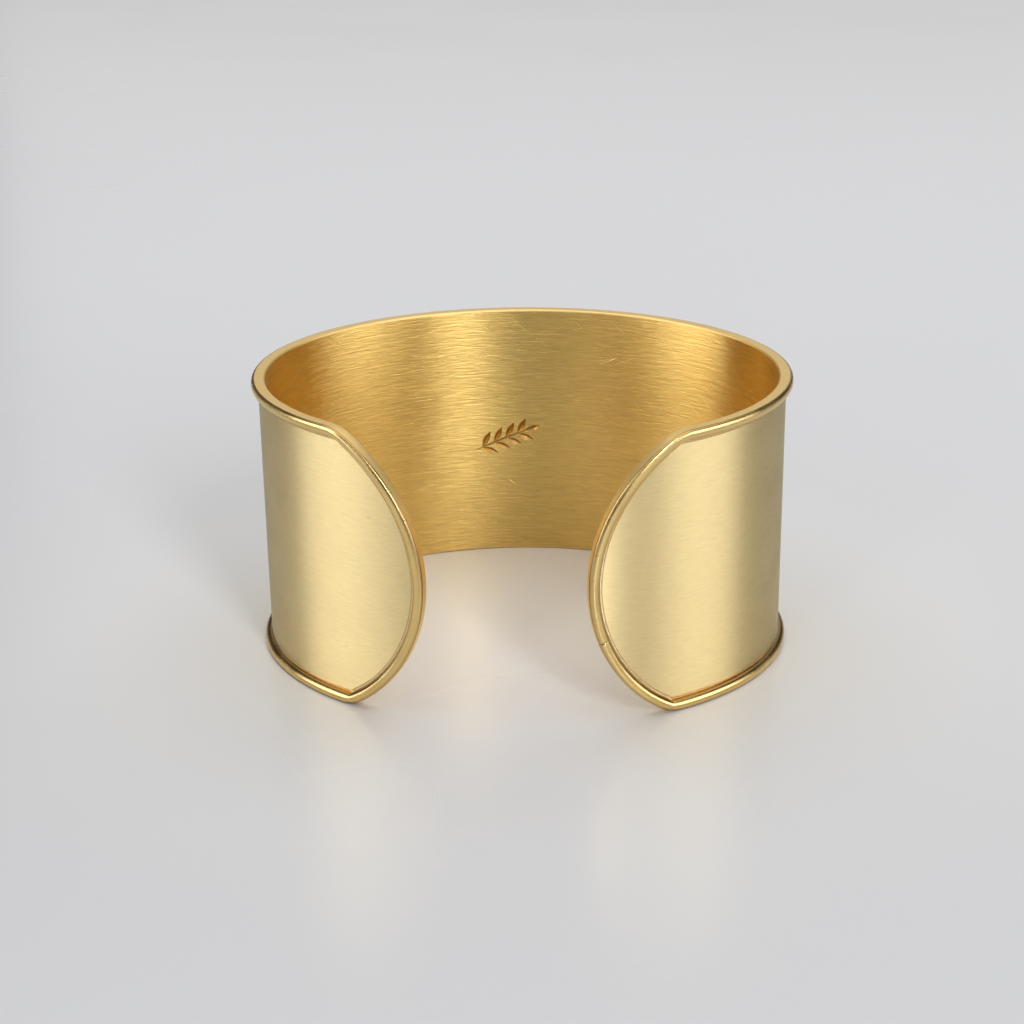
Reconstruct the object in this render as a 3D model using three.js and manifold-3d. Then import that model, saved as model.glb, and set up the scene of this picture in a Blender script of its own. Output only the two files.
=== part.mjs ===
// A wide, open cuff bracelet of sheet metal, with a wire soldered all round its edge as a rim.
//
// The cuff is worked out in the order in which its maker makes it. A flat blank with round ends is
// cut from sheet, a wire is soldered round its edge, a sprig is engraved inside, and the whole is
// bent round an oval. A place on the flat blank has three measures:
//   along  the way round the wrist, from the middle of the back, towards +X
//   up     along the wrist, from mid-height
//   rise   out of the sheet's outer face, so its inner face lies at minus the sheet's thickness
//
// Millimetres, +Z up, which is along the wrist. The cuff stands on one of its long edges with the
// gap towards -Y, and the origin is on the floor under the middle of it.

import * as THREE from "three";
import Module from "manifold-3d";

// The band
const INSIDE_WIDTH = 60; // along X
const INSIDE_DEPTH = 52; // along Y
const BAND_HEIGHT = 33;
const SHEET_THICKNESS = 0.8;
const GAP_WIDTH = 18; // between the two ends at mid-height, measured round the sheet's outside
const END_BULGE = 10.1; // how far a round end stands out past its two corners
const END_LEAN = 0.8; // how much further back an end's upper corner lies than its lower one
const PANEL_CORNER_RADIUS = 0.4;

// The rim: a wire with its edge filed flat, and a groove between the wire and the panel
const WIRE_WIDTH = 1.3;
const WIRE_RISE = 0.8;
const WIRE_CROWN = 0.55; // from the filed edge to the wire's highest line
const FILED_EDGE_RISE = 0.4; // where the filed edge ends, above the sheet's outer face
const GROOVE_WIDTH = 0.3;
const GROOVE_DEPTH = 0.15;
const GROOVE_SLOPE_WIDTH = 0.08; // each side wall of the groove, seen from above
const INNER_EDGE_RADIUS = 0.25;

// The sprig engraved inside the back
const SPRIG_ALONG = -4.3; // its middle
const SPRIG_UP = -0.9; // its middle
const SPRIG_LENGTH = 10;
const SPRIG_TILT = 20; // degrees
const STEM_WIDTH = 0.4;
const LEAF_PAIRS = 4;
const LEAF_LENGTH = 2.4;
const LEAF_WIDTH = 0.8;
const LEAF_ANGLE = 42; // degrees between a leaf and the stem
const CUT_SLOPE = 0.75; // an engraved line's depth, as a share of half its width
const CUT_CLEARANCE = 0.1; // how far each cut starts clear of the metal

// How finely the curves are divided
const EDGE_STEPS = 72;
const END_STEPS = 9; // from the middle of a round end to its corner
const CORNER_STEPS = 4;
const WIRE_STEPS = 4;
const CROWN_STEPS = 3;
const INNER_EDGE_STEPS = 3;
const CUT_STEPS = 6;
const OVAL_STEPS = 2000;

const GOLD = new THREE.MeshStandardMaterial({ color: 0xd8b866, metalness: 1, roughness: 0.32 });

const wasm = await Module();
wasm.setup();

// The oval of the sheet's outer face, from the middle of the back towards +X
const oval = new THREE.EllipseCurve(
  0,
  0,
  INSIDE_WIDTH / 2 + SHEET_THICKNESS,
  INSIDE_DEPTH / 2 + SHEET_THICKNESS,
  Math.PI / 2,
  -1.5 * Math.PI,
  true,
);
oval.arcLengthDivisions = OVAL_STEPS;
const ovalLength = oval.getLength();

const halfHeight = BAND_HEIGHT / 2;
const blankEnd = (ovalLength - GAP_WIDTH) / 2; // along, at the middle of a round end
const rimWidth = WIRE_WIDTH + GROOVE_WIDTH;

// Where a place on the flat blank comes to lie once the blank is bent
function bend({ along, up, rise }) {
  const leaned = along * (1 - (END_LEAN / blankEnd) * (up / BAND_HEIGHT));
  const turn = THREE.MathUtils.euclideanModulo(leaned / ovalLength, 1);
  const foot = oval.getPointAt(turn);
  const tangent = oval.getTangentAt(turn);
  return new THREE.Vector3(
    foot.x - tangent.y * rise,
    foot.y + tangent.x * rise,
    halfHeight + up,
  );
}

// Points on an arc, each with the direction that points straight out of the arc there
function arc({ centreAlong, centreUp, radius, from, to, steps }) {
  return Array.from({ length: steps }, (_, i) => {
    const angle = from + ((to - from) * i) / steps;
    const outAlong = Math.cos(angle);
    const outUp = Math.sin(angle);
    return {
      along: centreAlong + radius * outAlong,
      up: centreUp + radius * outUp,
      outAlong,
      outUp,
    };
  });
}

// The panel's outline inside the rim, once round from the middle of the +X end, over the top. The
// blank is alike on both sides and above and below, so a quarter of it gives the rest.
function panelOutline() {
  const endRadius = (END_BULGE ** 2 + halfHeight ** 2) / (2 * END_BULGE);
  const endCentre = blankEnd - endRadius;
  const panelRadius = endRadius - rimWidth;
  const cornerUp = halfHeight - rimWidth - PANEL_CORNER_RADIUS;
  const cornerAngle = Math.asin(cornerUp / (panelRadius - PANEL_CORNER_RADIUS));
  const cornerAlong = endCentre + (panelRadius - PANEL_CORNER_RADIUS) * Math.cos(cornerAngle);
  const quarter = [
    ...arc({
      centreAlong: endCentre,
      centreUp: 0,
      radius: panelRadius,
      from: 0,
      to: cornerAngle,
      steps: END_STEPS,
    }),
    ...arc({
      centreAlong: cornerAlong,
      centreUp: cornerUp,
      radius: PANEL_CORNER_RADIUS,
      from: cornerAngle,
      to: Math.PI / 2,
      steps: CORNER_STEPS,
    }),
  ];
  const edge = Array.from({ length: EDGE_STEPS + 1 }, (_, i) => ({
    along: cornerAlong * (1 - (2 * i) / EDGE_STEPS),
    up: halfHeight - rimWidth,
    outAlong: 0,
    outUp: 1,
  }));
  const otherQuarter = quarter
    .slice(1)
    .reverse()
    .map((p) => ({ ...p, along: -p.along, outAlong: -p.outAlong }));
  const over = [...quarter, ...edge, ...otherQuarter];
  const under = over.map(({ along, up, outAlong, outUp }) => ({
    along: -along,
    up: -up,
    outAlong: -outAlong,
    outUp: -outUp,
  }));
  return [...over, ...under];
}

// The rim's section, from the panel over the wire and round to the sheet's inner face. out is the
// distance outwards from the panel's outline.
function rimSection() {
  const turns = [
    {
      name: "wire, from the groove up to its crown",
      centreOut: rimWidth - WIRE_CROWN,
      centreRise: 0,
      width: WIRE_WIDTH - WIRE_CROWN,
      height: WIRE_RISE,
      from: 180,
      to: 90,
      steps: WIRE_STEPS,
    },
    {
      name: "wire, from its crown to the filed edge",
      centreOut: rimWidth - WIRE_CROWN,
      centreRise: FILED_EDGE_RISE,
      width: WIRE_CROWN,
      height: WIRE_RISE - FILED_EDGE_RISE,
      from: 90,
      to: 0,
      steps: CROWN_STEPS,
    },
    {
      name: "filed edge's end and the inner edge",
      centreOut: rimWidth - INNER_EDGE_RADIUS,
      centreRise: INNER_EDGE_RADIUS - SHEET_THICKNESS,
      width: INNER_EDGE_RADIUS,
      height: INNER_EDGE_RADIUS,
      from: 0,
      to: -90,
      steps: INNER_EDGE_STEPS,
    },
  ];
  const section = [
    { out: 0, rise: 0 },
    { out: GROOVE_SLOPE_WIDTH, rise: -GROOVE_DEPTH },
    { out: GROOVE_WIDTH - GROOVE_SLOPE_WIDTH, rise: -GROOVE_DEPTH },
  ];
  for (const { centreOut, centreRise, width, height, from, to, steps } of turns) {
    // The crown ends one turn and starts the next, and is taken once.
    const first = from === 90 ? 1 : 0;
    for (let i = first; i <= steps; i++) {
      const angle = THREE.MathUtils.degToRad(from + ((to - from) * i) / steps);
      section.push({
        out: centreOut + width * Math.cos(angle),
        rise: centreRise + height * Math.sin(angle),
      });
    }
  }
  return section;
}

function solidFrom(places, faces) {
  const points = places.map(bend);
  return new wasm.Manifold(
    new wasm.Mesh({
      numProp: 3,
      vertProperties: new Float32Array(points.flatMap((p) => p.toArray())),
      triVerts: new Uint32Array(faces.flat()),
    }),
  );
}

// The bent sheet and its rim as one skin. Each point of the rim's section makes a ring round the
// cuff, the panel fills the first ring and the sheet's inner face the last, by upright strips from
// each point above mid-height to the one that lies straight below it.
function cuffSolid() {
  const outline = panelOutline();
  const section = rimSection();
  const count = outline.length;
  const places = section.flatMap(({ out, rise }) =>
    outline.map((p) => ({
      along: p.along + out * p.outAlong,
      up: p.up + out * p.outUp,
      rise,
    })),
  );
  const faces = [];
  for (let ring = 0; ring < section.length - 1; ring++) {
    const near = ring * count;
    const far = near + count;
    for (let i = 0; i < count; i++) {
      const next = (i + 1) % count;
      faces.push([near + i, near + next, far + i], [near + next, far + next, far + i]);
    }
  }
  const last = (section.length - 1) * count;
  for (let i = 0; i < count / 2; i++) {
    const below = (count - i) % count;
    const strip = [
      [i, below, i + 1],
      [below, below === 0 ? count - 1 : below - 1, i + 1],
    ];
    for (const [a, b, c] of strip) {
      if (a === b || b === c) {
        continue;
      }
      faces.push([a, b, c], [last + a, last + c, last + b]);
    }
  }
  return solidFrom(places, faces);
}

// One line as a graver cuts it: a V that swells to its full width half-way and fades out again
function graverCut({ along, up, heading, length, width }) {
  const ahead = { along: Math.cos(heading), up: Math.sin(heading) };
  const places = [];
  for (let i = 0; i <= CUT_STEPS; i++) {
    const share = i / CUT_STEPS;
    const halfWidth = (width / 2) * Math.sin(Math.PI * share);
    const mouth = halfWidth + CUT_CLEARANCE / CUT_SLOPE;
    for (const side of [mouth, 0, -mouth]) {
      places.push({
        along: along + ahead.along * length * share - ahead.up * side,
        up: up + ahead.up * length * share + ahead.along * side,
        rise: (side === 0 ? halfWidth * CUT_SLOPE : -CUT_CLEARANCE) - SHEET_THICKNESS,
      });
    }
  }
  const faces = [[0, 1, 2]];
  for (let i = 0; i < CUT_STEPS; i++) {
    const near = 3 * i;
    const far = near + 3;
    for (let a = 0; a < 3; a++) {
      const b = (a + 1) % 3;
      faces.push([near + a, far + a, near + b], [near + b, far + a, far + b]);
    }
  }
  const last = 3 * CUT_STEPS;
  faces.push([last, last + 2, last + 1]);
  return solidFrom(places, faces);
}

// The sprig: a stem, pairs of leaves along it, and a leaf at its tip
function sprigCuts() {
  const tilt = THREE.MathUtils.degToRad(SPRIG_TILT);
  const leafAngle = THREE.MathUtils.degToRad(LEAF_ANGLE);
  const stemLength = SPRIG_LENGTH - LEAF_LENGTH;
  const onStem = (distance) => ({
    along: SPRIG_ALONG + Math.cos(tilt) * (distance - SPRIG_LENGTH / 2),
    up: SPRIG_UP + Math.sin(tilt) * (distance - SPRIG_LENGTH / 2),
  });
  const leaf = { length: LEAF_LENGTH, width: LEAF_WIDTH };
  const cuts = [
    graverCut({ ...onStem(0), heading: tilt, length: SPRIG_LENGTH, width: STEM_WIDTH }),
    graverCut({ ...onStem(stemLength), heading: tilt, ...leaf }),
  ];
  for (let pair = 1; pair <= LEAF_PAIRS; pair++) {
    const foot = onStem((stemLength * pair) / (LEAF_PAIRS + 0.5));
    for (const side of [-1, 1]) {
      cuts.push(graverCut({ ...foot, heading: tilt + side * leafAngle, ...leaf }));
    }
  }
  return cuts;
}

const engraved = sprigCuts().reduce((solid, cut) => solid.subtract(cut), cuffSolid());
const { vertProperties, triVerts } = engraved.getMesh();
const geometry = new THREE.BufferGeometry();
geometry.setAttribute("position", new THREE.BufferAttribute(vertProperties, 3));
geometry.setIndex(new THREE.BufferAttribute(triVerts, 1));
geometry.computeVertexNormals();
geometry.computeBoundingBox();

const cuff = new THREE.Mesh(geometry, GOLD);
cuff.name = "cuff";
const { min, max } = geometry.boundingBox;
cuff.position.set(-(min.x + max.x) / 2, -(min.y + max.y) / 2, -min.z);

const bracelet = new THREE.Group();
bracelet.add(cuff);

export default bracelet;
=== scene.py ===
"""A wide, open cuff bracelet in brushed gilt brass, on a pale studio floor.

The cuff is made flat and then bent, as its maker makes it. On the flat blank X runs along
the band from the middle of the back, Y rises out of the sheet's outer face and Z is up along
the wrist from mid-height. The finished cuff stands on one of its long edges, with the gap
towards -Y. All lengths are in metres.
"""

import math
from typing import NamedTuple

import bpy
from bpy.props import FloatProperty, FloatVectorProperty, IntProperty, PointerProperty
from bpy.types import Operator, Panel, PropertyGroup
from mathutils import Matrix, Vector


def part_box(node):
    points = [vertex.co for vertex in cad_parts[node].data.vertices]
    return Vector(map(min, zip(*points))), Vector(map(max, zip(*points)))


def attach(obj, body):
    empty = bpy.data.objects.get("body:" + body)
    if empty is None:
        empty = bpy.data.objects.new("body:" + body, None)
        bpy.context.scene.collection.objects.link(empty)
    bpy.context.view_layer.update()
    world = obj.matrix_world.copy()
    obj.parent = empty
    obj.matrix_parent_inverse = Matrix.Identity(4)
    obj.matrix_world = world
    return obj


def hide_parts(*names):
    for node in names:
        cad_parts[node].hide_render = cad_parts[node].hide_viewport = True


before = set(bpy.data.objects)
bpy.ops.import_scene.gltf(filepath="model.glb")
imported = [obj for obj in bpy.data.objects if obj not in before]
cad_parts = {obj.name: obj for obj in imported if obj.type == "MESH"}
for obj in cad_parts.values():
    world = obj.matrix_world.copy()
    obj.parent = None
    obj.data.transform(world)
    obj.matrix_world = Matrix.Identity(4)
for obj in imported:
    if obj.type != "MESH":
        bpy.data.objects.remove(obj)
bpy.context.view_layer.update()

bl_info = {
    "name": "Cuff bracelet",
    "version": (1, 0, 0),
    "blender": (4, 5, 0),
    "location": "View3D > Sidebar > Cuff",
    "description": "Models a wide open cuff with a soldered rim, and sets a studio round it",
    "category": "Object",
}

CAD_LOW, CAD_HIGH = (Vector(corner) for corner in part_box("cuff"))

MERGE_DISTANCE = 1e-6  # points of the two halves that are closer than this become one
NEAR = 2e-5  # closer than this to a level counts as on it
SQUARE_ON = 0.999  # a face's normal this far along an axis counts as square to it
SMOOTH_UNDER = 32  # degrees between faces that are shaded as one
OVAL_STEPS = 128  # divisions of each quarter of the oval
SLOTS = ("panel", "inside", "wire", "filed_edge", "groove", "engraved")


def length(name, description, default):
    """A length that a user may change."""
    return FloatProperty(
        name=name, description=description, default=default, unit="LENGTH", precision=5
    )


def angle(name, description, degrees):
    """An angle that a user may change."""
    return FloatProperty(
        name=name, description=description, default=math.radians(degrees), subtype="ANGLE"
    )


def number(name, description, default):
    """A plain number that a user may change."""
    return FloatProperty(name=name, description=description, default=default)


def count(name, description, default):
    """A whole number that a user may change."""
    return IntProperty(name=name, description=description, default=default, min=1)


def colour(name, description, default):
    """A colour that a user may change."""
    return FloatVectorProperty(
        name=name, description=description, default=default, subtype="COLOR", min=0, max=1
    )


class BandSettings(PropertyGroup):
    """The sheet that the cuff is made of."""

    inside_depth: length("Inside depth", "Inside, from the gap to the back", 0.052)
    sheet: length("Sheet", "Thickness of the sheet", 0.0008)
    gap: length("Gap", "Gap between the ends, measured round the sheet's outside", 0.018)
    bulge: length("End bulge", "How far a round end stands out past its corners", 0.0101)
    lean: length("End lean", "How much further back an end's upper corner lies", 0.0008)
    corner: length("Corner", "Radius of the cuff's four outer corners", 0.006)
    edge_steps: count("Edge steps", "Divisions of half a long edge", 150)
    end_steps: count("End steps", "Divisions of half a round end", 56)
    corner_steps: count("Corner steps", "Divisions of a corner", 20)


class RimSettings(PropertyGroup):
    """The wire soldered round the sheet's edge, and the groove beside it."""

    wire: length("Wire", "Width of the wire", 0.0013)
    rise: length("Rise", "How far the wire stands proud of the sheet", 0.0008)
    crown: length("Crown", "From the filed edge to the wire's highest line", 0.00055)
    filed: length("Filed edge", "Where the filed edge ends, above the sheet", 0.0004)
    groove: length("Groove", "Width of the groove", 0.0003)
    groove_depth: length("Groove depth", "Depth of the groove", 0.00015)
    lip: length("Groove lip", "Width of each side wall of the groove", 0.00008)
    inner: length("Inner edge", "Radius of the edge towards the wrist", 0.00025)
    wire_steps: count("Wire steps", "Divisions of each half of the wire", 10)
    inner_steps: count("Inner edge steps", "Divisions of the inner edge", 6)


class SprigSettings(PropertyGroup):
    """The sprig engraved inside the back."""

    along: length("Along", "Its middle, from the middle of the back", -0.0043)
    up: length("Up", "Its middle, from mid-height", -0.0009)
    length: length("Length", "Length of the stem", 0.010)
    tilt: angle("Tilt", "Slope of the stem", 20)
    stem: length("Stem", "Width of the stem", 0.0004)
    leaf: length("Leaf", "Length of a leaf", 0.0024)
    leaf_width: length("Leaf width", "Width of a leaf", 0.0008)
    leaf_angle: angle("Leaf angle", "Angle between a leaf and the stem", 42)
    slope: number("Cut slope", "A cut's depth, as a share of half its width", 0.75)
    clearance: length("Clearance", "How far a cut starts clear of the metal", 0.0001)
    pairs: count("Leaf pairs", "Pairs of leaves", 4)
    steps: count("Cut steps", "Divisions of each cut along its length", 12)


class FinishSettings(PropertyGroup):
    """The gilding, and how it is brushed and polished."""

    gold: colour("Gold", "The gilding outside", (0.92, 0.74, 0.375))
    wire_gold: colour("Wire gold", "The gilding of the wire", (0.90, 0.66, 0.27))
    # Painted light: the groove's gold is paler, to offset the darker tone that reflections
    # within the groove give it.
    groove_painted_light_gold: colour("Groove gold", "The gilding in the groove", (0.92, 0.78, 0.48))
    # Painted shade: the inside's gold is deeper than the outside's, standing in for the deeper
    # tone that gold-on-gold reflections give inside.
    inside_painted_deep_gold: colour("Inside gold", "The gilding inside", (0.90, 0.64, 0.21))
    brushed: number("Brushed", "Roughness of the brushed panels", 0.45)
    inside: number("Inside", "Roughness of the inside", 0.37)
    polished: number("Polished", "Roughness of the wire", 0.24)
    filed: number("Filed", "Roughness of the filed edge", 0.50)
    groove: number("Groove", "Roughness of the groove", 0.26)
    engraved: number("Engraved", "Roughness of the engraved cuts", 0.38)
    buffing: number("Buffing", "How much more the wire spreads light along itself", 0.75)
    brushing: number("Brushing", "How much more the brushed metal spreads light upright", 0.9)
    joint_from: length("Joint from", "Where the wire's joint points from", 0.0631)
    joint_heading: angle("Joint heading", "Direction of the wire's joint from there", -21.4)


class StudioSettings(PropertyGroup):
    """The camera, the floor and the light all round."""

    azimuth: angle("Azimuth", "Turn of the camera round the cuff", 4.70)
    elevation: angle("Elevation", "Angle of the camera's view over the floor", 21.01)
    roll: angle("Roll", "Turn of the camera about its view", -0.80)
    distance: length("Distance", "From the camera to the plane through the aim", 0.2545)
    aim_right: length("Aim right", "The aim, right of the oval's middle on the floor", -0.00152)
    aim_up: length("Aim up", "The aim, up from the oval's middle on the floor", 0.01413)
    lens: number("Lens", "Focal length in millimetres", 72.97)
    sensor: number("Sensor", "Width of the camera's sensor in millimetres", 36)
    clip_start: length("Clip start", "Nothing nearer to the camera shows", 0.01)
    clip_end: length("Clip end", "Nothing farther from the camera shows", 50)
    floor: length("Floor", "Side of the floor", 12.0)
    floor_colour: colour("Floor colour", "The floor round the cuff", (0.73, 0.73, 0.74))
    # Painted light: the far colour, pale from and pale to make the floor paler behind the cuff,
    # standing in for light there.
    far_painted_light_colour: colour("Far colour", "The floor far behind the cuff", (0.96, 0.96, 0.97))
    pale_from: length("Pale from", "Where the floor starts to pale, behind the cuff", -0.05)
    pale_to: length("Pale to", "Where the floor has its far colour", 0.7)
    smooth: number("Smooth", "Roughness of the floor's smoothest places", 0.25)
    dull: number("Dull", "Roughness of the floor's dullest places", 0.28)
    gloss: number("Gloss", "How strongly the floor mirrors, 0.5 being usual", 0.55)
    air_colour: colour("Air colour", "The light from all round", (0.98, 0.98, 1.0))
    air_strength: number("Air strength", "Strength of the light from all round", 0.05)


def deselect_all():
    """Leaves edit mode and selects nothing."""
    if bpy.context.object and bpy.context.object.mode != "OBJECT":
        bpy.ops.object.mode_set(mode="OBJECT")
    bpy.ops.object.select_all(action="DESELECT")


def select_only(obj):
    """Selects one object and makes it the active one."""
    deselect_all()
    obj.select_set(True)
    bpy.context.view_layer.objects.active = obj


def apply_modifier(obj, kind, **values):
    """Adds a modifier to an object, sets it up and applies it."""
    select_only(obj)
    modifier = obj.modifiers.new(kind.title(), kind)
    for name, value in values.items():
        setattr(modifier, name, value)
    bpy.ops.object.modifier_apply(modifier=modifier.name)


def select_faces(obj, test):
    """In edit mode, selects the faces that pass the test."""
    bpy.ops.mesh.select_all(action="DESELECT")
    bpy.ops.object.mode_set(mode="OBJECT")
    for face in obj.data.polygons:
        face.select = test(face)
    bpy.ops.object.mode_set(mode="EDIT")


def deselect_vertices(obj, test):
    """In edit mode, takes the vertices that pass the test out of the selection."""
    bpy.ops.object.mode_set(mode="OBJECT")
    for vertex in obj.data.vertices:
        if test(vertex.co):
            vertex.select = False
    for edge in obj.data.edges:
        edge.select = all(obj.data.vertices[i].select for i in edge.vertices)
    bpy.ops.object.mode_set(mode="EDIT")


def add_slots(obj):
    """Gives an object the cuff's material slots."""
    for name in SLOTS:
        obj.data.materials.append(bpy.data.materials[name])


def use_slot(obj, name):
    """In edit mode, gives the selected faces a material slot."""
    obj.active_material_index = SLOTS.index(name)
    bpy.ops.object.material_slot_assign()


class Blank:
    """The flat blank's measures, worked out from the settings and the frame."""

    def __init__(self, scene):
        band = scene.cuff_band
        rim = scene.cuff_rim
        self.height = CAD_HIGH.z - CAD_LOW.z
        self.middle = self.height / 2
        self.oval_width = CAD_HIGH.x - CAD_LOW.x - 2 * rim.rise
        self.oval_depth = band.inside_depth + 2 * band.sheet
        self.oval_centre = CAD_HIGH.y - rim.rise - self.oval_depth / 2
        self.end_radius = (band.bulge**2 + self.middle**2) / (2 * band.bulge)


def oval_curve(blank):
    """The oval of the sheet's outer face, from the middle of the gap, and half its length."""
    deselect_all()
    bpy.ops.curve.primitive_bezier_circle_add(radius=1)
    oval = bpy.context.object
    oval.name = "oval"
    oval.scale = (blank.oval_width / 2, blank.oval_depth / 2, 1)
    oval.location = (0, blank.oval_centre, CAD_LOW.z + blank.middle)
    bpy.ops.object.transform_apply(location=True, rotation=False, scale=True)
    oval.data.resolution_u = OVAL_STEPS
    oval.data.use_radius = False
    return oval, oval.data.splines[0].calc_length() / 2


class Corner:
    """The arc at the upper corner of the blank's +X end."""

    def __init__(self, blank, band, half_length):
        self.end_centre = half_length - band.gap / 2 - blank.end_radius
        self.end_radius = blank.end_radius
        self.middle = blank.middle
        self.radius = band.corner
        reach = self.end_radius - self.radius
        self.up = self.middle - self.radius
        self.start = math.asin(self.up / reach)
        self.along = self.end_centre + reach * math.cos(self.start)
        self.half_turn = (math.pi / 2 - self.start) / 2
        self.length = self.distance(0, self.middle)[0]

    def distance(self, along, up):
        """A place's distances round the edge, from the end's middle, and in from the edge."""
        heading = math.atan2(up, along - self.end_centre)
        if heading < self.start:
            inset = self.end_radius - math.hypot(along - self.end_centre, up)
            return self.end_radius * heading, inset
        to_corner = self.end_radius * self.start
        if along > self.along:
            turn = math.atan2(up - self.up, along - self.along) - self.start
            inset = self.radius - math.hypot(along - self.along, up - self.up)
            return to_corner + self.radius * turn, inset
        straight = self.along - along
        return to_corner + 2 * self.radius * self.half_turn + straight, self.middle - up


def draw_outline(blank, band, half_length):
    """A closed line round the blank's edge, with its middle at the world's origin."""
    corner = Corner(blank, band, half_length)
    deselect_all()
    bpy.ops.mesh.primitive_plane_add(location=(0, 0, 0))
    outline = bpy.context.object
    bpy.ops.object.mode_set(mode="EDIT")
    bpy.ops.mesh.select_all(action="SELECT")
    bpy.ops.mesh.merge(type="CENTER")  # leaves one point, the middle of the round end
    bpy.ops.transform.translate(value=(corner.end_centre + blank.end_radius, 0, 0))
    bpy.ops.mesh.spin(
        steps=band.end_steps,
        angle=corner.start,
        center=(corner.end_centre, 0, 0),
        axis=(0, 1, 0),
    )
    bpy.ops.mesh.spin(
        steps=band.corner_steps,
        angle=2 * corner.half_turn,
        center=(corner.along, 0, corner.up),
        axis=(0, 1, 0),
    )
    for _ in range(band.edge_steps):
        bpy.ops.mesh.extrude_region_move(
            TRANSFORM_OT_translate={"value": (-corner.along / band.edge_steps, 0, 0)}
        )
    bpy.ops.object.mode_set(mode="OBJECT")
    apply_modifier(
        outline, "MIRROR", use_axis=(True, False, True), merge_threshold=MERGE_DISTANCE
    )
    return outline


def quarter_turn(steps):
    """Angles from 0 to a quarter turn."""
    return [math.pi / 2 * step / steps for step in range(steps + 1)]


def insets_between(places):
    """The differences between neighbours in a list of (inset, rise)."""
    return [(b[0] - a[0], b[1] - a[1]) for a, b in zip(places, places[1:])]


def wire_insets(rim):
    """The wire's section, from the filed edge over the crown and down to the groove."""
    over = [
        (
            rim.crown * (1 - math.cos(turn)),
            rim.filed + (rim.rise - rim.filed) * math.sin(turn),
        )
        for turn in quarter_turn(rim.wire_steps)
    ]
    down = [
        (rim.crown + (rim.wire - rim.crown) * math.sin(turn), rim.rise * math.cos(turn))
        for turn in quarter_turn(rim.wire_steps)
    ]
    return insets_between(over + down[1:])


def groove_insets(rim):
    """The groove's section, from the wire's foot to the panel."""
    far_lip = rim.wire + rim.groove
    return insets_between(
        [
            (rim.wire, 0),
            (rim.wire + rim.lip, -rim.groove_depth),
            (far_lip - rim.lip, -rim.groove_depth),
            (far_lip, 0),
        ]
    )


def inner_edge_insets(rim):
    """The inner edge's section, from the filed edge to the sheet's inner face."""
    return insets_between(
        [
            (rim.inner * (1 - math.cos(turn)), rim.inner * math.sin(turn))
            for turn in quarter_turn(rim.inner_steps)
        ]
    )


def inset_by(insets):
    """Insets the selected face again and again, and lifts it a little each time."""
    for inset, rise in insets:
        bpy.ops.mesh.inset(thickness=inset, depth=rise, use_even_offset=True)


def fill_with_strips(obj, level, slot):
    """Puts upright strips in place of the large selected face, so that it can be bent."""
    bpy.ops.mesh.delete(type="ONLY_FACE")
    bpy.ops.mesh.select_mode(type="VERT")
    bpy.ops.mesh.select_all(action="DESELECT")
    bpy.ops.mesh.select_non_manifold()
    deselect_vertices(obj, lambda place: abs(place.z) < NEAR)
    bpy.ops.mesh.bridge_edge_loops()
    bpy.ops.mesh.select_all(action="SELECT")
    bpy.ops.mesh.fill_holes(sides=3)
    bpy.ops.mesh.select_mode(type="FACE")
    select_faces(
        obj, lambda f: abs(f.center.y - level) < NEAR and abs(f.normal.y) > SQUARE_ON
    )
    use_slot(obj, slot)


def flat_blank(scene, blank, half_length):
    """The sheet with its wire and groove, still flat."""
    band = scene.cuff_band
    rim = scene.cuff_rim
    cuff = draw_outline(blank, band, half_length)
    cuff.name = "cuff_metal"
    add_slots(cuff)

    select_only(cuff)
    bpy.ops.object.mode_set(mode="EDIT")
    bpy.ops.mesh.select_mode(type="VERT")
    bpy.ops.mesh.select_all(action="SELECT")
    bpy.ops.mesh.edge_face_add()
    use_slot(cuff, "filed_edge")
    bpy.ops.transform.translate(value=(0, rim.inner - band.sheet, 0))
    filed_width = rim.filed + band.sheet - rim.inner
    bpy.ops.mesh.extrude_region_move(
        TRANSFORM_OT_translate={"value": (0, filed_width, 0)}
    )
    bpy.ops.mesh.select_all(action="SELECT")
    bpy.ops.mesh.normals_make_consistent(inside=False)

    outline_points = 4 * (band.end_steps + band.corner_steps + band.edge_steps)
    bpy.ops.mesh.select_mode(type="FACE")
    select_faces(cuff, lambda f: len(f.vertices) == outline_points and f.normal.y > 0)
    use_slot(cuff, "wire")
    inset_by(wire_insets(rim))
    use_slot(cuff, "groove")
    inset_by(groove_insets(rim))
    fill_with_strips(cuff, 0, "panel")
    bpy.ops.mesh.select_mode(type="FACE")
    select_faces(cuff, lambda f: len(f.vertices) == outline_points and f.normal.y < 0)
    inset_by(inner_edge_insets(rim))
    fill_with_strips(cuff, -band.sheet, "inside")
    bpy.ops.mesh.select_all(action="SELECT")
    bpy.ops.mesh.normals_make_consistent(inside=False)
    bpy.ops.object.mode_set(mode="OBJECT")
    return cuff


def sharpen_groove(cuff, corner, band, rim):
    """Draws the groove out to a point at each corner, and leaves the wire's crown round."""
    for vertex in cuff.data.vertices:
        place = vertex.co
        along = abs(place.x) - corner.along
        up = abs(place.z) - corner.up
        radius = math.hypot(along, up)
        inset = band.corner - radius
        turn = math.atan2(up, along) - corner.start - corner.half_turn
        at_corner = abs(turn) <= corner.half_turn
        past_crown = inset > rim.crown
        on_outer_side = place.y >= -rim.groove_depth - NEAR
        if not (at_corner and past_crown and on_outer_side):
            continue
        share = min((inset - rim.crown) / (rim.wire - rim.crown), 1)
        stretch = 1 + share * (1 / math.cos(corner.half_turn - abs(turn)) - 1)
        place.x = math.copysign(corner.along + along * stretch, place.x)
        place.z = math.copysign(corner.up + up * stretch, place.z)


def keep_flat_places(cuff):
    """Keeps each place on the flat blank as the UV map that the brushing follows."""
    flat = cuff.data.uv_layers.new(name="blank")
    for loop in cuff.data.loops:
        place = cuff.data.vertices[loop.vertex_index].co
        flat.data[loop.index].uv = (place.x, place.z)


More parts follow.
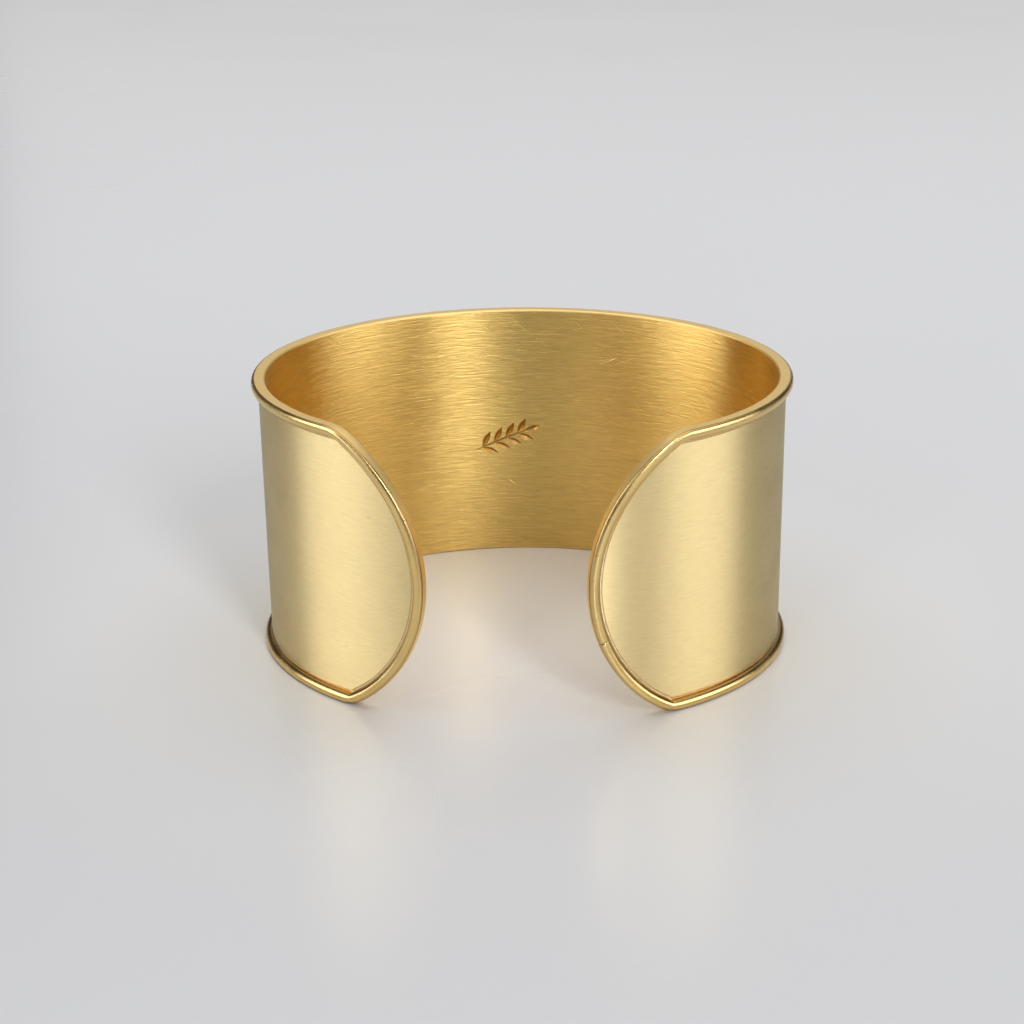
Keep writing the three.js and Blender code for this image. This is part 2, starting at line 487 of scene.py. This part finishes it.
def keep_rim_places(cuff, corner, rim):
    """Keeps the distances along and across the wire as the UV map that its polish follows.

    Across, they grow from the filed edge, which is below 0, over the crown to the wire's foot.
    """
    across_rim = cuff.data.uv_layers.new(name="rim")
    for face in cuff.data.polygons:
        for index in face.loop_indices:
            place = cuff.data.vertices[cuff.data.loops[index].vertex_index].co
            along, inset = corner.distance(abs(place.x), abs(place.z))
            if face.center.x < 0:
                along = 2 * corner.length - along
            below_crown = math.copysign(rim.rise - place.y, inset - rim.crown)
            across_rim.data[index].uv = (
                math.copysign(along, face.center.z),
                inset + below_crown,
            )


def bend(obj, oval, blank, band, half_length):
    """Leans the ends of a flat piece back a little and bends it round the oval."""
    blank_end = half_length - band.gap / 2
    for vertex in obj.data.vertices:
        place = vertex.co
        place.x = half_length + place.x * (1 - band.lean / blank_end * place.z / blank.height)
    apply_modifier(obj, "CURVE", object=oval, deform_axis="POS_X")


def graver_cut(name, sprig, sheet, cut_length, width):
    """A solid for one engraved line along X: a V that swells half-way and fades out."""
    mouth = -sheet - sprig.clearance
    deselect_all()
    bpy.ops.mesh.primitive_circle_add(
        vertices=4, radius=sprig.clearance, fill_type="NGON", rotation=(0, math.pi / 2, 0)
    )
    cut = bpy.context.object
    cut.name = name
    bpy.ops.object.transform_apply(location=False, rotation=True, scale=False)
    bpy.ops.object.mode_set(mode="EDIT")
    bpy.ops.mesh.select_all(action="SELECT")
    bpy.ops.mesh.bisect(
        plane_co=(0, 0, 0), plane_no=(0, 1, 0), use_fill=False, clear_inner=True
    )
    bpy.ops.mesh.select_all(action="SELECT")
    bpy.ops.transform.resize(value=(1, 1, 1 / sprig.slope), center_override=(0, 0, 0))
    bpy.ops.transform.translate(value=(0, mouth, 0))
    depth = sprig.clearance
    for step in range(1, sprig.steps + 1):
        part = step / sprig.steps
        wanted = sprig.clearance + width / 2 * sprig.slope * math.sin(math.pi * part)
        bpy.ops.mesh.extrude_region_move(
            TRANSFORM_OT_translate={"value": (cut_length / sprig.steps, 0, 0)}
        )
        bpy.ops.transform.resize(
            value=(1, wanted / depth, wanted / depth),
            center_override=(cut_length * part, mouth, 0),
        )
        depth = wanted
    bpy.ops.mesh.select_all(action="SELECT")
    bpy.ops.mesh.normals_make_consistent(inside=False)
    bpy.ops.object.mode_set(mode="OBJECT")
    add_slots(cut)
    for face in cut.data.polygons:
        face.material_index = SLOTS.index("engraved")
    return cut


def lay_cut(cut, along, up, heading):
    """Turns a cut on the blank's face and puts its foot at a place, for good."""
    select_only(cut)
    cut.rotation_euler.y = -heading
    cut.location = (along, 0, up)
    bpy.ops.object.transform_apply(location=True, rotation=True, scale=False)


def copy_of(obj):
    """A copy with its own mesh."""
    select_only(obj)
    bpy.ops.object.duplicate(linked=False)
    return bpy.context.object


def sprig_cuts(sprig, sheet):
    """The stem, its pairs of leaves and the leaf at its tip, as solids on the flat blank."""
    stem = graver_cut("stem", sprig, sheet, sprig.length, sprig.stem)
    leaf = graver_cut("leaf", sprig, sheet, sprig.leaf, sprig.leaf_width)
    bare_stem = sprig.length - sprig.leaf

    def foot(distance):
        from_middle = distance - sprig.length / 2
        return (
            sprig.along + math.cos(sprig.tilt) * from_middle,
            sprig.up + math.sin(sprig.tilt) * from_middle,
        )

    leaves = [(foot(bare_stem), sprig.tilt)]
    step = bare_stem / (sprig.pairs + 0.5)  # half a step is left below the leaf at the tip
    for pair in range(1, sprig.pairs + 1):
        place = foot(pair * step)
        leaves += [(place, sprig.tilt + side * sprig.leaf_angle) for side in (-1, 1)]
    cuts = [stem]
    for (along, up), heading in leaves:
        cut = copy_of(leaf)
        lay_cut(cut, along, up, heading)
        cuts.append(cut)
    lay_cut(stem, *foot(0), sprig.tilt)
    bpy.data.objects.remove(leaf)
    return cuts


class CUFF_OT_finishes(Operator):
    """Make the cuff's finishes"""

    bl_idname = "cuff.finishes"
    bl_label = "Finishes"

    def execute(self, context):
        """Makes one material for each slot."""
        finish = context.scene.cuff_finish
        for name in SLOTS:
            make_finish(name, finish)
        return {"FINISHED"}


class CUFF_OT_band(Operator):
    """Make the band with its rim: cut it flat, inset the rim's section and bend it"""

    bl_idname = "cuff.band"
    bl_label = "Band and rim"

    def execute(self, context):
        """Models the cuff and hides the solid that it replaces."""
        scene = context.scene
        blank = Blank(scene)
        oval, half_length = oval_curve(blank)
        cuff = flat_blank(scene, blank, half_length)
        corner = Corner(blank, scene.cuff_band, half_length)
        sharpen_groove(cuff, corner, scene.cuff_band, scene.cuff_rim)
        keep_flat_places(cuff)
        keep_rim_places(cuff, corner, scene.cuff_rim)
        bend(cuff, oval, blank, scene.cuff_band, half_length)
        select_only(cuff)
        bpy.ops.object.shade_smooth_by_angle(angle=math.radians(SMOOTH_UNDER))
        bpy.data.objects.remove(oval)
        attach(cuff, "root")
        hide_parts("cuff")
        return {"FINISHED"}


class CUFF_OT_sprig(Operator):
    """Engrave the sprig inside the back of the band"""

    bl_idname = "cuff.sprig"
    bl_label = "Engraved sprig"

    def execute(self, context):
        """Cuts the sprig out of the band."""
        scene = context.scene
        blank = Blank(scene)
        oval, half_length = oval_curve(blank)
        cuts = sprig_cuts(scene.cuff_sprig, scene.cuff_band.sheet)
        cuff = bpy.data.objects["cuff_metal"]
        for cut in cuts:
            bend(cut, oval, blank, scene.cuff_band, half_length)
            apply_modifier(
                cuff, "BOOLEAN", object=cut, operation="DIFFERENCE", solver="EXACT"
            )
            bpy.data.objects.remove(cut)
        bpy.data.objects.remove(oval)
        return {"FINISHED"}


MEAN = 0.5  # a noise's mean value
MIDDLE = (0.3, 0.7)  # most of a noise's values lie between these


class Nodes:
    """A material's nodes, added and joined in one line each."""

    def __init__(self, name):
        self.material = bpy.data.materials.new(name)
        self.material.use_nodes = True
        self.tree = self.material.node_tree
        self.shader = self.tree.nodes["Principled BSDF"]

    def add(self, kind, inputs=None, **values):
        """Adds a node. inputs sets its sockets, with a number, a colour or another socket."""
        node = self.tree.nodes.new(kind)
        for name, value in values.items():
            setattr(node, name, value)
        for name, value in (inputs or {}).items():
            self.set(node.inputs[name], value)
        return node

    def set(self, socket, value):
        """Gives a socket a value, or joins it to another node's output."""
        if isinstance(value, bpy.types.NodeSocket):
            self.tree.links.new(value, socket)
        else:
            socket.default_value = value

    def noise(self, place, stretch, detail=3.0, distortion=0.0):
        """Noise with so many grains per metre along each axis."""
        mapping = self.add("ShaderNodeMapping", {"Vector": place, "Scale": stretch})
        return self.add(
            "ShaderNodeTexNoise",
            {
                "Vector": mapping.outputs[0],
                "Scale": 1.0,
                "Detail": detail,
                "Distortion": distortion,
            },
        ).outputs["Fac"]

    def ramp(self, value, low, high, to_low=0.0, to_high=1.0):
        """Maps a range of values to another range, and stops at its ends."""
        node = self.add(
            "ShaderNodeMapRange",
            {0: value, 1: low, 2: high, 3: to_low, 4: to_high},
        )
        return node.outputs[0]

    def spread(self, noise, to_low=0.0, to_high=1.0):
        """Spreads most of a noise's values over a range."""
        return self.ramp(noise, *MIDDLE, to_low, to_high)

    def combine(self, how, a, b):
        """Arithmetic on two values."""
        return self.add("ShaderNodeMath", {0: a, 1: b}, operation=how).outputs[0]

    def unsigned(self, value):
        """A value without its sign."""
        return self.combine("ABSOLUTE", value, 0)

    def mix(self, amount, a, b):
        """A colour between two colours."""
        node = self.add("ShaderNodeMix", data_type="RGBA")
        self.set(node.inputs["Factor"], amount)
        self.set(node.inputs[6], a)  # 6, 7 and output 2 are the sockets for colours
        self.set(node.inputs[7], b)
        return node.outputs[2]

    def map_place(self, uv_map):
        """The place on a UV map."""
        return self.add("ShaderNodeUVMap", uv_map=uv_map).outputs[0]

    def object_place(self):
        """The place on the finished piece."""
        return self.add("ShaderNodeTexCoord").outputs["Object"]

    def along(self, axis, place):
        """A place's distance along one axis."""
        return self.add("ShaderNodeSeparateXYZ", {"Vector": place}).outputs[axis]

    def spread_light(self, uv_map, amount, turn=0.0):
        """Makes the metal spread light more along a UV map's U, or turned from it."""
        self.shader.inputs["Anisotropic"].default_value = amount
        self.shader.inputs["Anisotropic Rotation"].default_value = turn
        tangent = self.add("ShaderNodeTangent", direction_type="UV_MAP", uv_map=uv_map)
        self.set(self.shader.inputs["Tangent"], tangent.outputs[0])

    def relief(self, height, depth):
        """Raises the surface by a height, where a height of 1 is a depth in metres."""
        bump = self.add(
            "ShaderNodeBump", {"Height": height, "Strength": 1.0, "Distance": depth}
        )
        self.set(self.shader.inputs["Normal"], bump.outputs[0])

    def mottle(self, gold, grains, dark, pale=(1, 1)):
        """Colours the metal in fine grains of two shades of gold, and gives the grains."""
        grain = self.noise(self.object_place(), (grains, grains, grains), detail=2)
        base = self.mix(self.spread(grain), shade(gold, *dark), shade(gold, *pale))
        self.set(self.shader.inputs["Base Color"], base)
        return grain


def shade(gold, factor, warmth=1.0):
    """A darker gold, and a redder one where warmth is under 1."""
    red, green, blue = gold
    return (red * factor, green * factor * warmth, blue * factor * warmth**2, 1)


def make_finish(name, finish):
    """One finish of the gilding."""
    nodes = Nodes(name)
    nodes.shader.inputs["Metallic"].default_value = 1
    makers = {
        "panel": panel_finish,
        "inside": inside_finish,
        "wire": wire_finish,
        "filed_edge": filed_finish,
        "groove": groove_finish,
        "engraved": engraved_finish,
    }
    makers[name](nodes, finish)


class Brushing(NamedTuple):
    """How a face is brushed. Grains are counted per metre along the band."""

    fine: float  # grains of the finest marks
    stroke: float  # grains of the brush's strokes
    wander: float  # how far the strokes wander off straight
    cut: float  # height of the strokes, where a pit's depth is 1
    trough: float  # brightness of the gold between the strokes
    scratches: float  # depth of the hairlines
    depth: float  # a pit's depth in metres


PANEL_BRUSHING = Brushing(
    fine=900, stroke=500, wander=0.5, cut=0.5, trough=0.92, scratches=0.3, depth=0.00003
)
INSIDE_BRUSHING = Brushing(
    fine=420, stroke=260, wander=1.1, cut=1.0, trough=0.80, scratches=0.8, depth=0.00007
)

FINE_UPRIGHT, STROKE_UPRIGHT = 9000, 3200  # grains per metre up the band
PATCHES = (170, 260, 1)  # grains per metre along the band and up it
HAIRLINES, STRETCHES = (14, 600, 1), (150, 260, 1)  # the same, along a hairline and across
PITS = 340  # per metre
FINE_HEIGHT = 0.4  # height of the finest marks, where a pit's depth is 1
PIT_SIZE = (0.018, 0.034)  # its floor's radius and its whole radius, in gaps between pits
SCRATCHES = ((38, 0.004), (-21, 0.003))  # headings in degrees, and widths as noise values
STRETCH_SHOWS = (0.58, 0.66)  # the noise where a hairline starts to show, and shows fully
TONE = (0.7, 1.3)  # the sum of both kinds of marks in a trough and on a crest
TROUGH_WARMTH = 0.97  # of the gold there, as shade() has it
PIT_SHADE = (0.62, 0.85)  # brightness and warmth
PATCH_ROUGHNESS = (-0.02, 0.03)  # least and most that patches add to the roughness
MARK_ROUGHNESS = (-0.02, 0.02)  # the same for the finest marks
UPRIGHT = 0.25  # a quarter turn, from along the band to up it


def hairlines(nodes, place, heading, width):
    """Thin single scratches, some millimetres long, that lie about one way."""
    turned = nodes.add(
        "ShaderNodeMapping", {"Vector": place, "Rotation": (0, 0, math.radians(heading))}
    ).outputs[0]
    line = nodes.noise(turned, HAIRLINES, detail=0)
    off_line = nodes.unsigned(nodes.combine("SUBTRACT", line, MEAN))
    thin = nodes.ramp(off_line, 0, width, 1, 0)
    stretches = nodes.noise(turned, STRETCHES, detail=1)
    return nodes.combine("MULTIPLY", thin, nodes.ramp(stretches, *STRETCH_SHOWS))


def brushed(nodes, finish, gold, roughness, look):
    """Metal brushed along the band, with a few hairlines and small pits."""
    shader = nodes.shader
    place = nodes.map_place("blank")
    fine = nodes.noise(place, (look.fine, FINE_UPRIGHT, 1), detail=3)
    stroke = nodes.noise(
        place, (look.stroke, STROKE_UPRIGHT, 1), detail=3, distortion=look.wander
    )
    patches = nodes.noise(place, PATCHES, detail=2)
    pits = nodes.add("ShaderNodeTexVoronoi", {"Vector": place, "Scale": PITS}, feature="F1")
    pit = nodes.ramp(pits.outputs["Distance"], *PIT_SIZE, 1, 0)
    scratch = nodes.combine(
        "MAXIMUM", *(hairlines(nodes, place, heading, width) for heading, width in SCRATCHES)
    )

    tone = nodes.ramp(nodes.combine("ADD", fine, stroke), *TONE)
    base = nodes.mix(tone, shade(gold, look.trough, TROUGH_WARMTH), shade(gold, 1))
    base = nodes.mix(pit, base, shade(gold, *PIT_SHADE))
    nodes.set(shader.inputs["Base Color"], base)

    low, high = PATCH_ROUGHNESS
    rough = nodes.spread(patches, roughness + low, roughness + high)
    rough = nodes.combine("ADD", rough, nodes.spread(fine, *MARK_ROUGHNESS))
    nodes.set(shader.inputs["Roughness"], rough)
    nodes.spread_light("blank", finish.brushing, UPRIGHT)

    grain = nodes.combine(
        "ADD",
        nodes.combine("MULTIPLY", fine, FINE_HEIGHT),
        nodes.combine("MULTIPLY", stroke, look.cut),
    )
    marks = nodes.combine("ADD", pit, nodes.combine("MULTIPLY", scratch, look.scratches))
    nodes.relief(nodes.combine("SUBTRACT", grain, marks), look.depth)


def panel_finish(nodes, finish):
    """The outside of the band: finely brushed."""
    brushed(nodes, finish, finish.gold, finish.brushed, PANEL_BRUSHING)


def inside_finish(nodes, finish):
    """The inside of the band: brushed less evenly, with wavy lines, in a gold painted deeper.
    """
    brushed(nodes, finish, finish.inside_painted_deep_gold, finish.inside, INSIDE_BRUSHING)


HAIRS = (2600, 2600, 5200)  # grains per metre of the wire's faint hairlines
WEAR = (260, 260, 260)  # the same, for its patches of wear
HAIR_HEIGHT = 0.02  # where the joint's depth is 1
JOINT_DEPTH = 0.00004  # in metres
JOINT_WIDTH = (0.00003, 0.00012)  # half its floor's width, and half its whole width
JOINT_SHADE = (0.45, 0.85)  # brightness and warmth
WORN_FROM = (0.35, 0.7)  # the noise where the wire is most worn, and where it is fresh
WORN_SHADE = (0.93, 0.97)
WORN_ROUGHNESS = (-0.03, 0.06)  # least and most that wear adds to the roughness
# Painted shade: the wire's flanks are darkened towards its foot and its filed edge, standing in
# for the shade and dark reflections that leave only the crown bright. Its brightness and
# warmth.
FLANK_PAINTED_SHADE = (0.30, 0.70)
# Where the painted shade starts and ends across the wire, as the rim's UV map has it, and how
# much.
FOOT_PAINTED_SHADE = (0.0008, 0.0015, 0, 0.85)
FILED_SIDE_PAINTED_SHADE = (-0.0003, 0.0004, 0.75, 0)


def wire_joint(nodes, finish):
    """1 on the line where the wire's two ends meet, and 0 off it."""
    flat = nodes.map_place("blank")
    across = (-math.sin(finish.joint_heading), math.cos(finish.joint_heading), 0)
    offset = nodes.add(
        "ShaderNodeVectorMath", {0: flat, 1: across}, operation="DOT_PRODUCT"
    ).outputs["Value"]
    offset = nodes.combine("SUBTRACT", offset, across[0] * finish.joint_from)
    line = nodes.ramp(nodes.unsigned(offset), *JOINT_WIDTH, 1, 0)
    on_wire = nodes.combine("GREATER_THAN", nodes.along("X", flat), finish.joint_from)
    return nodes.combine("MULTIPLY", line, on_wire)


def wire_finish(nodes, finish):
    """The wire: polished, with painted shade at its foot and towards the filed edge, and
    jointed.
    """
    shader = nodes.shader
    gold = finish.wire_gold
    hairs = nodes.noise(nodes.object_place(), HAIRS, detail=2)
    wear = nodes.noise(nodes.object_place(), WEAR, detail=3)
    joint = wire_joint(nodes, finish)

    base = nodes.mix(nodes.ramp(wear, *WORN_FROM), shade(gold, *WORN_SHADE), shade(gold, 1))
    across_wire = nodes.along("Y", nodes.map_place("rim"))
    # Painted shade: both flanks of the wire are darkened, so that only the crown stays bright.
    foot = nodes.ramp(across_wire, *FOOT_PAINTED_SHADE)
    filed_side = nodes.ramp(across_wire, *FILED_SIDE_PAINTED_SHADE)
    painted_flank_shade = nodes.combine("MAXIMUM", foot, filed_side)
    base = nodes.mix(painted_flank_shade, base, shade(gold, *FLANK_PAINTED_SHADE))
    base = nodes.mix(joint, base, shade(gold, *JOINT_SHADE))
    nodes.set(shader.inputs["Base Color"], base)

    low, high = WORN_ROUGHNESS
    rough = nodes.spread(wear, finish.polished + low, finish.polished + high)
    nodes.set(shader.inputs["Roughness"], rough)
    nodes.spread_light("rim", finish.buffing)
    hair_height = nodes.combine("MULTIPLY", hairs, HAIR_HEIGHT)
    nodes.relief(nodes.combine("SUBTRACT", hair_height, joint), JOINT_DEPTH)


FILED_GRAINS, GROOVE_GRAINS, ENGRAVED_GRAINS = 9000, 4000, 5000  # per metre
FILED_DEPTH = 0.0000004  # of the file's marks
FILED_ROUGHNESS = 0.05  # how far its grains take the roughness either way
FILED_SHADE = (0.93, 0.98)  # brightness and warmth of the darker grains
GROOVE_SHADE = (0.9, 0.96)
ENGRAVED_SHADES = ((0.55, 0.85), (0.7, 0.9))  # of the darker grains and the paler ones


def filed_finish(nodes, finish):
    """The filed edge: flat and satin."""
    grain = nodes.mottle(finish.wire_gold, FILED_GRAINS, FILED_SHADE)
    rough = nodes.spread(
        grain, finish.filed - FILED_ROUGHNESS, finish.filed + FILED_ROUGHNESS
    )
    nodes.set(nodes.shader.inputs["Roughness"], rough)
    nodes.relief(grain, FILED_DEPTH)


def groove_finish(nodes, finish):
    """The groove: satin, with painted light that makes it paler than the wire, offsetting the
    darker tone that reflections within the groove give it.
    """
    nodes.mottle(finish.groove_painted_light_gold, GROOVE_GRAINS, GROOVE_SHADE)
    nodes.shader.inputs["Roughness"].default_value = finish.groove


def engraved_finish(nodes, finish):
    """The engraved cuts: darker than the face round them."""
    nodes.mottle(finish.inside_painted_deep_gold, ENGRAVED_GRAINS, *ENGRAVED_SHADES)
    nodes.shader.inputs["Roughness"].default_value = finish.engraved


FLOOR_PATCHES = (9, 9, 9)  # smooth and dull places per metre


def floor_finish(studio):
    """The floor: pale, smooth and a little glossy, with painted light that makes it paler away
    from the camera.
    """
    nodes = Nodes("floor")
    shader = nodes.shader
    place = nodes.object_place()
    patches = nodes.noise(place, FLOOR_PATCHES, detail=2)
    # Painted light: the floor pales behind the cuff.
    behind = nodes.ramp(nodes.along("Y", place), studio.pale_from, studio.pale_to)
    base = nodes.mix(behind, (*studio.floor_colour, 1), (*studio.far_painted_light_colour, 1))
    nodes.set(shader.inputs["Base Color"], base)
    rough = nodes.spread(patches, studio.smooth, studio.dull)
    nodes.set(shader.inputs["Roughness"], rough)
    shader.inputs["Specular IOR Level"].default_value = studio.gloss
    return nodes.material


class SoftBox(NamedTuple):
    """A rectangular lamp that faces the cuff. Azimuth 0 is in front of the gap."""

    name: str
    azimuth: float  # degrees
    elevation: float  # degrees over the floor
    distance: float  # from the floor under the cuff
    size: tuple  # width and height
    tint: tuple
    strength: float  # watts


NEUTRAL = (1, 1, 1)
DAYLIGHT = (0.93, 0.95, 1.0)
ROOM_LIGHTS = (
    SoftBox("overhead", 180, 83, 4.0, (5.9, 5.9), NEUTRAL, 165.0),
    SoftBox("backdrop", 180, 16, 1.6, (1.2, 0.55), NEUTRAL, 1.7),
    SoftBox("front left", -25, 31, 0.9, (0.12, 0.40), DAYLIGHT, 0.5),
    SoftBox("front right", 27, 31, 0.9, (0.15, 0.40), DAYLIGHT, 3.1),
)
CUFF_LIGHTS = (  # these shine on the cuff and not on the floor
    SoftBox("left", -79, 20, 0.9, (0.52, 0.56), DAYLIGHT, 3.1),
    SoftBox("high left", -66, 38, 0.9, (0.20, 0.25), DAYLIGHT, 0.8),
    SoftBox("right", 78, 20, 0.9, (0.58, 0.56), DAYLIGHT, 3.4),
    SoftBox("low left", -50, 7, 0.9, (0.34, 0.20), DAYLIGHT, 0.5),
    SoftBox("low right", 46, 7, 0.9, (0.50, 0.20), DAYLIGHT, 0.35),
)


def hang(box):
    """Hangs a soft box in the studio."""
    turn, rise = math.radians(box.azimuth), math.radians(box.elevation)
    away = Vector(
        (math.sin(turn) * math.cos(rise), -math.cos(turn) * math.cos(rise), math.sin(rise))
    )
    deselect_all()
    bpy.ops.object.light_add(type="AREA", location=away * box.distance)
    lamp = bpy.context.object
    lamp.name = box.name
    lamp.rotation_euler = away.to_track_quat("Z", "Y").to_euler()
    lamp.data.shape = "RECTANGLE"
    lamp.data.size, lamp.data.size_y = box.size
    lamp.data.color = box.tint
    lamp.data.energy = box.strength
    return lamp


def light_all_round(scene, studio):
    """Gives the scene its faint light from all round."""
    world = bpy.data.worlds.new("studio")
    scene.world = world
    world.use_nodes = True
    background = world.node_tree.nodes["Background"]
    background.inputs["Color"].default_value = (*studio.air_colour, 1)
    background.inputs["Strength"].default_value = studio.air_strength


def set_camera(studio, foot):
    """Stands the camera at the photo's angle to the cuff."""
    sin_a, cos_a = math.sin(studio.azimuth), math.cos(studio.azimuth)
    sin_e, cos_e = math.sin(studio.elevation), math.cos(studio.elevation)
    back = Vector((sin_a * cos_e, -cos_a * cos_e, sin_e))
    level = Vector((cos_a, sin_a, 0))
    upright = back.cross(level)
    sin_r, cos_r = math.sin(studio.roll), math.cos(studio.roll)
    right = level * cos_r + upright * sin_r
    up = upright * cos_r - level * sin_r
    aim = foot + right * studio.aim_right + up * studio.aim_up
    turn = Matrix((right, up, back)).transposed()
    deselect_all()
    bpy.ops.object.camera_add(location=aim + back * studio.distance, rotation=turn.to_euler())
    camera = bpy.context.object
    camera.name = "camera"
    camera.data.lens = studio.lens
    camera.data.sensor_width = studio.sensor
    camera.data.clip_start = studio.clip_start
    camera.data.clip_end = studio.clip_end
    bpy.context.scene.camera = camera


class CUFF_OT_studio(Operator):
    """Set the floor, the lights and the camera"""

    bl_idname = "cuff.studio"
    bl_label = "Studio"

    def execute(self, context):
        """Builds the stage."""
        scene = context.scene
        studio = scene.cuff_studio
        deselect_all()
        bpy.ops.mesh.primitive_plane_add(size=studio.floor, location=(0, 0, CAD_LOW.z))
        floor = bpy.context.object
        floor.name = "floor"
        bpy.ops.object.transform_apply(location=True, rotation=False, scale=True)
        floor.data.materials.append(floor_finish(studio))
        for box in ROOM_LIGHTS:
            hang(box)
        lit = bpy.data.collections.new("lit_by_cuff_lights")
        lit.objects.link(bpy.data.objects["cuff_metal"])
        for box in CUFF_LIGHTS:
            hang(box).light_linking.receiver_collection = lit
        light_all_round(scene, studio)
        set_camera(studio, Vector((0, Blank(scene).oval_centre, CAD_LOW.z)))
        scene.view_settings.view_transform = "Standard"
        return {"FINISHED"}


class CUFF_PT_sidebar(Panel):
    """The cuff's settings and operators, in the sidebar"""

    bl_idname = "CUFF_PT_sidebar"
    bl_label = "Cuff bracelet"
    bl_space_type = "VIEW_3D"
    bl_region_type = "UI"
    bl_category = "Cuff"

    def draw(self, context):
        """Lists the settings and the operators."""
        for name, group in SETTINGS.items():
            box = self.layout.box()
            for setting in group.__annotations__:
                box.prop(getattr(context.scene, name), setting)
        for operator in STEPS:
            self.layout.operator(operator.bl_idname)


STEPS = (CUFF_OT_finishes, CUFF_OT_band, CUFF_OT_sprig, CUFF_OT_studio)
SETTINGS = {
    "cuff_band": BandSettings,
    "cuff_rim": RimSettings,
    "cuff_sprig": SprigSettings,
    "cuff_finish": FinishSettings,
    "cuff_studio": StudioSettings,
}


def register():
    """Registers the classes, and their settings on the scene."""
    for group in (*SETTINGS.values(), *STEPS, CUFF_PT_sidebar):
        bpy.utils.register_class(group)
    for name, group in SETTINGS.items():
        setattr(bpy.types.Scene, name, PointerProperty(type=group))


def unregister():
    """Takes the settings and the classes away again."""
    for name in SETTINGS:
        delattr(bpy.types.Scene, name)
    for group in (*SETTINGS.values(), *STEPS, CUFF_PT_sidebar):
        bpy.utils.unregister_class(group)


def main():
    """Makes the cuff and its studio."""
    register()
    bpy.ops.cuff.finishes()
    bpy.ops.cuff.band()
    bpy.ops.cuff.sprig()
    bpy.ops.cuff.studio()


if __name__ == "__main__":
    main()
